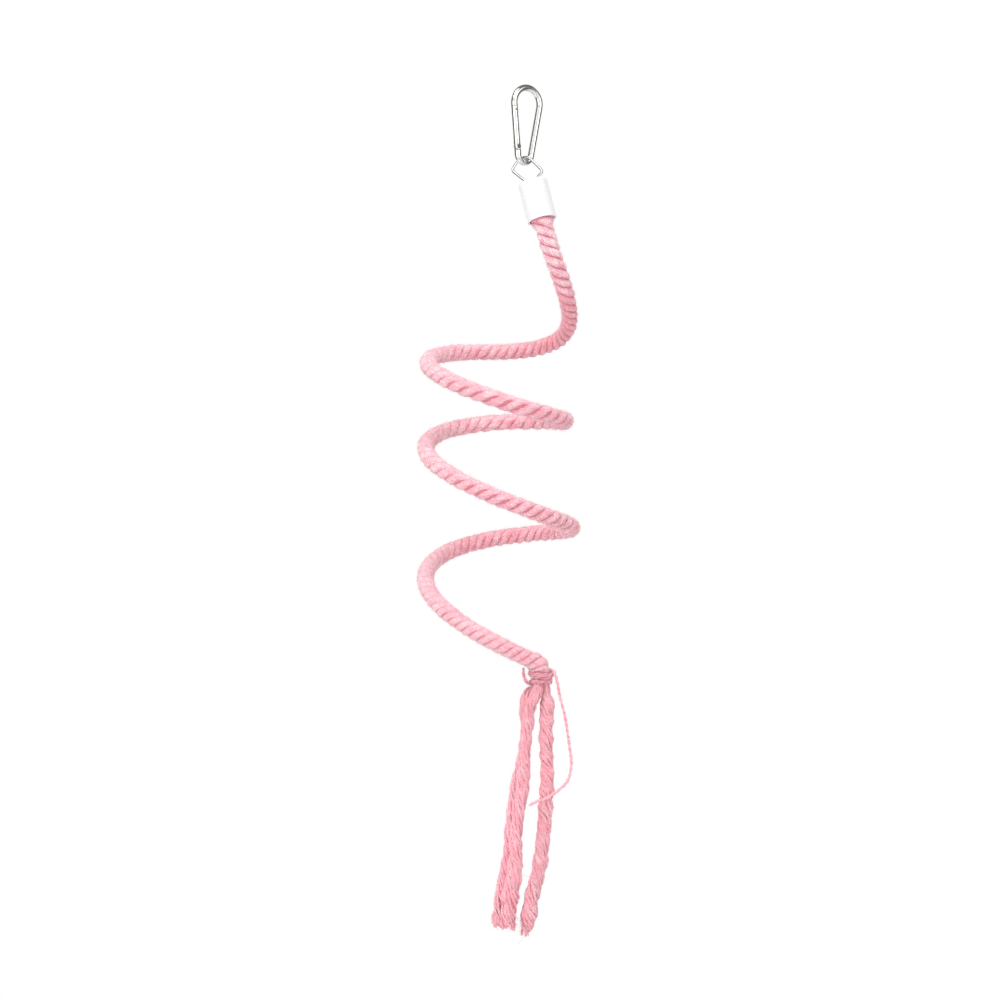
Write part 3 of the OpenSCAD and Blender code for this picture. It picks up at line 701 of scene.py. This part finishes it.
# The rope's three strands, laid left-handed round the core wire. A run is the mm
# below the cap's mouth, and the pairs give a value at a run.
ropeLay = {
    "lobeOut": 0.31,  # share of the rope's radius, and the lobe's own radius is the rest
    "lobeSpan": 59.5, "outerSides": 34, "coreAt": (59.0, 20.0, -20.0, -59.0),
    "coreShare": 0.25,
    "partMm": 0.06, "yarns": 9, "yarnTurn": 1.0, "seed": 21,
    # how flat the lobes are brushed on the left bends, on top and near the end, and how much
    # painted highlight the flat parts get
    "brushed": 0.68, "brushedFrom": 150, "brushedOver": 60,
    "brushedTop": 0.62, "brushedEnd": 0.3, "endRun": 190, "endOver": 110, "flatHighlight": 0.7,
    # in the cap the lobes are pressed, and its rim holds and shades the rope, with painted shade
    # under it too
    "pressed": 0.45, "pressedFrom": -2, "pressedOver": 9,
    "rimDent": 0.25, "rimRun": 4.2, "rimOver": 3.0, "rimPower": 1.5,
    "shadeFrom": 1.0, "shadeOver": 1.6, "woolOver": 4,
    # painted highlight, palest just below the cap
    "paintedHighlight": 0.9, "paleTo": 60, "paleOver": 45,
    # swelling on the way (share, mm to a radian) and before the binding
    "swell": ((0.012, 7.3), (0.012, 17.0)), "endBulge": 0.22, "bulgeAt": 6.5, "bulgeRun": 5.5,
    # yarns and tufts: height (mm), then how many to a yarn and the mm that they run
    # over; the lay varies by radians over mm
    "ridge": 0.05, "rib": (0.22, 0.5, 6), "tuft": (0.26, 1.3, 1.3), "layVaries": (0.16, 9),
    # one strand's lay (mm) and the share of painted shade along the run
    "layAt": [(-20, 21), (0, 21), (35, 24), (55, 23), (75, 20), (95, 18), (125, 18.5),
              (155, 23), (195, 24.5), (255, 26), (300, 30), (375, 30), (475, 31), (515, 28.5),
              (600, 29.5), (635, 26.5), (655, 25), (700, 24.5), (780, 24), (835, 22),
              (875, 21.5), (920, 24), (975, 19), (1100, 19)],
    "paintedShadeAt": [(50, 0), (74, 1), (130, 1), (160, 0.15), (185, 0), (770, 0), (810, 0.85),
              (875, 0.85), (905, 0), (980, 0.2), (1065, 0.5)],
}


def layPhase(run):
    rate = 2 * np.pi / np.interp(run, *zip(*ropeLay["layAt"]))
    phase = np.concatenate([[0], np.cumsum((rate[1:] + rate[:-1]) / 2 * np.diff(run))])
    amount, over = ropeLay["layVaries"]
    return phase + amount * softNoise(run / over, 0 * run, ropeLay["seed"])


# How flat the lobes are: on the left bends, along the top, towards the binding
def brushedFlat(line, run, upward):
    g = ropeLay
    axisX = perchLine["capMouth"][0] + perchLine["fromMouth"][0]
    leftward = (np.clip((axisX - line[:, 0]) / perchLine["spiralR"], 0, 1) ** 2
                * np.clip((run - g["brushedFrom"]) / g["brushedOver"], 0, 1))
    nearEnd = np.clip((run - run[-1] + g["endRun"]) / g["endOver"], 0, 1)
    flat = np.maximum(g["brushed"] * leftward[:, None], g["brushedTop"] * upward)
    return np.maximum(flat, g["brushedEnd"] * nearEnd[:, None])


def ropeYarn(angle, phase):
    return ropeLay["yarns"] * (angle - ropeLay["yarnTurn"] * phase[:, None]) / (2 * np.pi / 3)


def ropeStrand(j, line, sideA, sideB, run):
    g = ropeLay
    rng = random.Random(g["seed"] + j)
    radius = ropeRadius(run)
    phase = layPhase(run)
    th = np.radians(np.linspace(-g["lobeSpan"], g["lobeSpan"], g["outerSides"]))[None, :]
    base = (2 * np.pi * j / 3 - phase)[:, None]
    upward = np.clip(np.cos(base + th) * sideA[:, 2:] + np.sin(base + th) * sideB[:, 2:], 0, 1)
    flat = brushedFlat(line, run, upward)
    pressed = g["pressed"] + (1 - g["pressed"]) * np.clip(
        (run - g["pressedFrom"]) / g["pressedOver"], 0, 1)
    c = g["lobeOut"] * pressed[:, None] * (1 - flat)
    r = 1 - c
    lobe = c * np.cos(th) + np.sqrt(r * r - (c * np.sin(th)) ** 2)
    # the strand swells and settles a little on its way, and bulges over the binding
    phases = [rng.uniform(0, 6.28) for _ in range(3)]
    swell = 1 + sum(share * np.sin(run / over + at)
                    for (share, over), at in zip(g["swell"], phases))
    toEnd = run[-1] - run
    swell = swell + g["endBulge"] * np.exp(-((toEnd - g["bulgeAt"]) / g["bulgeRun"]) ** 2)
    # yarns stand up from the strand, unevenly, and the cotton is tufted
    yarn = ropeYarn(th, phase)
    ribs, tufts = [height * softNoise(yarn * across, run[:, None] / over, seed + j)
                   for (height, across, over), seed in ((g["rib"], 5), (g["tuft"], 15))]
    ribs = ribs + g["ridge"] * np.cos(2 * np.pi * yarn)
    outer = (lobe * (radius * swell)[:, None]
             + (ribs + tufts) * np.clip(run / g["woolOver"], 0, 1)[:, None])
    rimHold = np.clip((g["rimRun"] - run) / g["rimOver"], 0, 1) ** g["rimPower"]
    outer = outer - g["rimDent"] * rimHold[:, None]
    # the outer arc and a small inner one make the strand's section
    thIn = np.radians(np.array(g["coreAt"]))[None, :]
    angle = np.repeat(np.concatenate([th, thIn], axis=1), len(run), axis=0)
    inner = np.repeat(g["coreShare"] * radius[:, None], len(g["coreAt"]), axis=1)
    reach = np.concatenate([outer, inner], axis=1)
    x = reach * np.cos(base + angle) + g["partMm"] * np.cos(base)
    y = reach * np.sin(base + angle) + g["partMm"] * np.sin(base)
    rings = (line[:, None, :] + x[:, :, None] * sideA[:, None, :]
             + y[:, :, None] * sideB[:, None, :])
    # painted shade deep in the grooves and under the cap's rim; painted highlight palest just
    # below it and where the lobes lie flat
    low = lobe[:, :1]
    depth = np.clip((lobe - low) / (1 - low) + ribs * 0.6 + tufts * 0.9
                    + g["flatHighlight"] * flat, 0, 1)
    shade = np.clip((run - g["shadeFrom"]) / g["shadeOver"], 0, 1)[:, None]
    depth = np.concatenate([depth * shade, np.zeros((len(run), len(g["coreAt"])))], axis=1)
    pale = 1 + g["paintedHighlight"] * np.clip((g["paleTo"] - run) / g["paleOver"], 0, 1)[:, None]
    # painted shade over the stretches of the run that the table gives
    darkened = rng.uniform(0.85, 1.15) * np.interp(run, *zip(*g["paintedShadeAt"]))
    tone = np.stack([depth, (0.1 + 0.9 * depth) * pale, darkened[:, None] + 0 * depth], axis=-1)
    return {"rings": rings, "tone": tone, "lay": layMap(ropeYarn(angle, phase) + 40 * j, run)}


ropeA, ropeB = crossFrame(ropeLine)
ropeRun = runAlong(ropeLine) - perchLine["inCap"]
ropeSkins = []
for j in range(3):
    skin = ropeStrand(j, ropeLine, ropeA, ropeB, ropeRun)
    piece = pieceFromSkins("ropeStrand" + str(j + 1), [skin], ropeCotton)
    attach(piece, "perch")
    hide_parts("rope")
    ropeSkins.append(skin["rings"])
print("rope laid")

# Loose fibres that stand off the cotton, lengths and widths in mm. Real ones are
# 0.02 mm thick, drawn thicker so that they show.
fuzz = {
    "width": 0.085, "seed": 77, "strayShare": 0.03, "strayTimes": 2.6, "curl": (0.6, 3.2),
    "ropeCount": 12000, "ropeLength": (0.8, 2.6), "bindingCount": 4500,
    "tasselCount": 6000, "tasselLength": (0.8, 2.8),
    "endCount": 900, "endLength": (2.0, 5.5), "endRings": 13,
    # how a fibre heads: out of the skin, at random, along the yarn
    "out": 0.75, "random": 0.7, "along": 0.5, "endOut": 0.35, "endAlong": 1.6,
    # a sliver's three rings (share of its length, share of its width) before its tip
    "rings": ((-0.06, 1.0), (0.35, 0.9), (0.7, 0.7)),
    "tone": (0.8, 0.8, 0.5),
}


# Fibres are curled three-sided slivers; at cut ends they point down the bundle
def fuzzPiece(name, skins, count, outerSides, lengthMm, seed, atEnd=False):
    g = fuzz
    rng = np.random.default_rng(seed)
    per = count // len(skins)
    stack = np.arange(per)
    points, quads, tris = [], [], []
    total = 0
    for rings in skins:
        n, m = rings.shape[:2]
        i = rng.integers(2, n - 2, per)
        k = rng.integers(1, (outerSides or m) - 1, per)
        p = rings[i, k]
        tangent = unit(rings[i + 1, k] - rings[i - 1, k])
        out = unit(np.cross(rings[i, (k + 1) % m] - rings[i, k - 1], tangent))
        out = out * np.sign((out * (p - rings[i].mean(axis=1))).sum(axis=1))[:, None]
        drift = rng.choice([-g["along"], g["along"]], per)[:, None]
        drift = tangent * (g["endAlong"] if atEnd else drift)
        heading = unit(out * (g["endOut"] if atEnd else g["out"])
                       + g["random"] * unit(rng.normal(size=(per, 3))) + drift)
        bend = unit(np.cross(heading, rng.normal(size=(per, 3))))
        across = np.cross(heading, bend)
        length = rng.uniform(lengthMm[0], lengthMm[1], per)
        length = length * np.where(rng.random(per) < g["strayShare"], g["strayTimes"], 1)
        curl = rng.uniform(g["curl"][0], g["curl"][1], per)
        for share, width in g["rings"] + ((1, 0),):
            level = p + (heading * (length * np.sin(curl * share) / curl)[:, None]
                         + bend * (length * (1 - np.cos(curl * share)) / curl)[:, None])
            for q in range(3 if width else 1):
                a = 2 * math.pi * q / 3
                points.append(level + g["width"] / 2 * width
                              * (math.cos(a) * across + math.sin(a) * bend))
        block = [total + level * per + stack for level in range(10)]
        for q in range(3):
            r = (q + 1) % 3
            for low in (0, 3):
                quads.append(np.stack([block[low + q], block[low + r], block[low + 3 + r],
                                       block[low + 3 + q]], axis=1))
            tris.append(np.stack([block[6 + q], block[6 + r], block[9]], axis=1))
        tris.append(np.stack([block[2], block[1], block[0]], axis=1))
        total += 10 * per
    faces = np.concatenate(quads).tolist() + np.concatenate(tris).tolist()
    piece = tonedPiece(name, np.concatenate(points), faces, np.tile(g["tone"], (total, 1)),
                       fuzzCotton)
    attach(piece, "perch")


firstOut = int(np.searchsorted(ropeRun, 1.0))  # no fuzz inside the cap
for j, rings in enumerate(ropeSkins):
    fuzzPiece("ropeFuzz" + str(j + 1), [rings[firstOut:]], fuzz["ropeCount"],
              ropeLay["outerSides"], fuzz["ropeLength"], fuzz["seed"] + j)
for name, skins in tasselSkins.items():
    fuzzPiece(name + "Fuzz", skins, fuzz["tasselCount"], None, fuzz["tasselLength"],
              fuzz["seed"] + len(name))
    fuzzPiece(name + "EndFibres", [rings[-fuzz["endRings"]:] for rings in skins],
              fuzz["endCount"], None, fuzz["endLength"], fuzz["seed"] + 7 + len(name), atEnd=True)
fuzzPiece("bindingFuzz", [one["rings"] for one in bindingSkins], fuzz["bindingCount"], None,
          fuzz["ropeLength"], fuzz["seed"] + 31)

# Single long fibres that hang between the strands and at their ends, in mm from
# the rope's bound end
strays = {
    "width": 0.2, "sides": 5,
    "lines": [
        [(-14.5, -4, -143), (-10, -6.5, -145), (-6, -6, -145), (-3, -3, -143.6)],
        [(-17, -4, -175), (-12, -6, -177), (-8.5, -6, -180.5), (-10, -5, -184.5),
         (-13.5, -5, -183), (-12.5, -5.5, -179.5), (-15, -5, -178)],
        [(-15, -4, -181), (-11.5, -5, -183.5), (-12.5, -4, -187), (-15.5, -4, -187.5)],
        [(-10, -3, -184), (-13, -4, -190), (-16, -5, -193), (-17, -5, -194.5)],
        [(-31, -5, -166), (-34, -6, -170), (-33.5, -6, -174), (-35.5, -6, -178)],
        [(-8, -5, 8), (-11.5, -7, 6), (-12, -7, 1.5), (-9.5, -6, -3)],
    ],
}
strayRings = []
for points in strays["lines"]:
    line = evenSteps(smoothThrough(points, steps=10), spacing=0.5) + boundEnd
    sideA, sideB = crossFrame(line)
    strayRings.append({"rings": tubeRings(line, strays["width"] / 2, sideA, sideB,
                                          strays["sides"])})
strayPiece = pieceFromSkins("strayFibres", strayRings, fuzzCotton)
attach(strayPiece, "perch")
print("fuzz set")

# The wire eye is bent up from one straight wire: straights are extruded and bends
# spun. Its corners are mm across and up from the link in the hook's bow.
wireEye = {
    "link": (-1.9040, -1.3332, -49.1471), "yaw": -35, "lean": 16.6,
    "wireD": 2, "legGap": 10.6, "legL": 10, "drop": 18.2, "shift": 7.1,
    "topL": 4, "topR": 3.8, "left": (-11.6, -8.6), "right": (16.6, -11.6), "straight": 1.6,
    "bends": [2, 2.5, 2.5, 2.5, 2, 2], "sides": 20, "bendSteps": 14, "smoothTo": 40,
}


def legPoint(side, h):
    g = wireEye
    a = math.radians(g["lean"])
    out = side * g["legGap"] / 2
    return np.array([g["shift"] + out * math.cos(a) - h * math.sin(a),
                     -g["drop"] + out * math.sin(a) + h * math.cos(a)])


def extrudeBy(step):
    bpy.ops.mesh.extrude_region_move(
        TRANSFORM_OT_translate={"value": (float(step[0]) * mm, 0, float(step[1]) * mm)})


def makeWireEye():
    g = wireEye
    corners = [legPoint(-1, -g["legL"]), legPoint(-1, g["straight"]), np.array(g["left"]),
               np.array([-g["topL"], 0]), np.array([g["topR"], 0]), np.array(g["right"]),
               legPoint(1, g["straight"]), legPoint(1, -g["legL"])]
    bpy.ops.object.select_all(action="DESELECT")
    first = unit(corners[1] - corners[0])
    bpy.ops.mesh.primitive_circle_add(
        vertices=g["sides"], radius=g["wireD"] / 2 * mm, fill_type="NOTHING",
        location=(corners[0][0] * mm, 0, corners[0][1] * mm),
        rotation=(0, math.atan2(first[0], first[1]), 0))
    piece = bpy.context.object
    piece.name = "wireEye"
    bpy.ops.object.transform_apply(location=True, rotation=True, scale=True)
    bpy.ops.object.mode_set(mode="EDIT")
    bpy.ops.mesh.select_mode(type="VERT")
    bpy.ops.mesh.select_all(action="SELECT")
    here = corners[0]
    for i in range(1, len(corners) - 1):
        back, ahead = unit(corners[i - 1] - corners[i]), unit(corners[i + 1] - corners[i])
        half = math.acos(float(back.dot(ahead))) / 2
        r = g["bends"][i - 1]
        start = corners[i] + r / math.tan(half) * back
        end = corners[i] + r / math.tan(half) * ahead
        centre = corners[i] + r / math.sin(half) * unit(back + ahead)
        extrudeBy(start - here)
        fromAngle, toAngle = [math.atan2(*(p - centre)[::-1]) for p in (start, end)]
        sweep = (toAngle - fromAngle + math.pi) % (2 * math.pi) - math.pi
        bpy.ops.mesh.spin(steps=g["bendSteps"], angle=sweep, axis=(0, 1, 0),
                          center=(float(centre[0]) * mm, 0, float(centre[1]) * mm))
        here = end
    extrudeBy(corners[-1] - here)
    bpy.ops.mesh.select_all(action="SELECT")
    bpy.ops.mesh.remove_doubles(threshold=0.01 * mm)
    bpy.ops.mesh.fill_holes(sides=0)
    bpy.ops.mesh.select_all(action="SELECT")
    bpy.ops.mesh.normals_make_consistent(inside=False)
    bpy.ops.object.mode_set(mode="OBJECT")
    piece.rotation_euler = (0, 0, math.radians(g["yaw"]))
    piece.location = [v * mm for v in g["link"]]
    bpy.ops.object.transform_apply(location=True, rotation=True, scale=True)
    bpy.ops.object.shade_smooth_by_angle(angle=math.radians(g["smoothTo"]))
    piece.data.materials.append(eyeSteel)
    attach(piece, "perch")
    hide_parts("wire_eye")


makeWireEye()
print("wire eye bent")

# The solids that stay as they are get their finishes
finishes = {
    "hook_body": hookPlate, "gate": gatePlate, "rivet": pinSteel, "latch_pin": pinSteel,
    "plunger": shadedTarnishedBrass, "spring": springSteel, "cap": capPlastic, "glue": waxyGlue,
    "core_wire": springSteel,
}
for name, material in finishes.items():
    mesh = nodes[name].data
    mesh.materials.clear()
    mesh.materials.append(material)
print("finishes on the kept nodes")

# A white paper floor and three soft lamps, in metres and watts
studio = {
    "floorZ": -0.98, "floorR": 1.1, "floorSides": 96,
    # size, power, place, aim
    "lamps": {
        "keyAbove": (1.2, 15.0, (-0.35, -0.8, 1.15), (-0.0196, 0, -0.30)),
        "sideRight": (0.9, 5.0, (1.15, -1.0, 0.35), (-0.0196, 0, -0.30)),
        "lowLeft": (1.2, 9.0, (-0.9, -1.3, -0.3), (0, 0, -0.5)),
    },
    "fillTop": 0.95, "fillLow": 0.55, "fillSpan": 0.8,
    # where the dark flags start, towards the sides and towards above and below
    "flags": {"X": 0.68, "Z": 0.52}, "flagEdge": 0.16, "flagTone": 0.17,
}
bpy.ops.object.select_all(action="DESELECT")
bpy.ops.mesh.primitive_circle_add(vertices=studio["floorSides"], radius=studio["floorR"],
                                  fill_type="NGON",
                                  location=(cameraSet["aim"][0] * mm, 0, studio["floorZ"]))
floor = bpy.context.object
floor.name = "paperFloor"
bpy.ops.object.transform_apply(location=True, rotation=True, scale=True)
floor.data.materials.append(whitePaper)

for name, (size, power, place, aim) in studio["lamps"].items():
    bpy.ops.object.light_add(type="AREA", location=place)
    lamp = bpy.context.object
    lamp.name = name
    lamp.data.energy = power
    lamp.data.size = size
    lamp.rotation_euler = (Vector(aim) - Vector(place)).to_track_quat("-Z", "Y").to_euler()


# White all round to the eye. The metal sees a white tent with dark flags at both
# sides, above and below, so that it gets its outlines; the rest is lit by soft
# light that is stronger from above.
def makeWorld():
    g = studio
    world = bpy.data.worlds.new("whiteTent")
    world.use_nodes = True
    bpy.context.scene.world = world
    tree = world.node_tree
    tree.nodes.clear()

    def glow(tone, strength):
        return addNode(tree, "ShaderNodeBackground",
                       {"Color": tone, "Strength": strength}).outputs[0]

    def either(share, first, second):
        return addNode(tree, "ShaderNodeMixShader", {0: share, 1: first, 2: second}).outputs[0]

    white = (1, 1, 1, 1)
    ray = addNode(tree, "ShaderNodeLightPath").outputs
    place = addNode(tree, "ShaderNodeTexCoord")
    look = addNode(tree, "ShaderNodeSeparateXYZ", {"Vector": place.outputs["Generated"]}).outputs
    flags = [rangeNode(tree, mathNode(tree, "ABSOLUTE", look[axis]),
                       (start, start + g["flagEdge"]), (1, g["flagTone"]), "SMOOTHSTEP")
             for axis, start in g["flags"].items()]
    tent = glow(mathNode(tree, "MULTIPLY", *flags), 1.0)
    fill = glow(white, rangeNode(tree, look["Z"], (-g["fillSpan"], g["fillSpan"]),
                                 (g["fillLow"], g["fillTop"])))
    mirrored = mathNode(tree, "MAXIMUM", ray["Is Glossy Ray"], ray["Is Transmission Ray"])
    seen = either(ray["Is Camera Ray"], either(mirrored, fill, tent), glow(white, 1.0))
    addNode(tree, "ShaderNodeOutputWorld", {"Surface": seen})


makeWorld()
bpy.context.scene.view_settings.view_transform = "Standard"
print("studio lit")
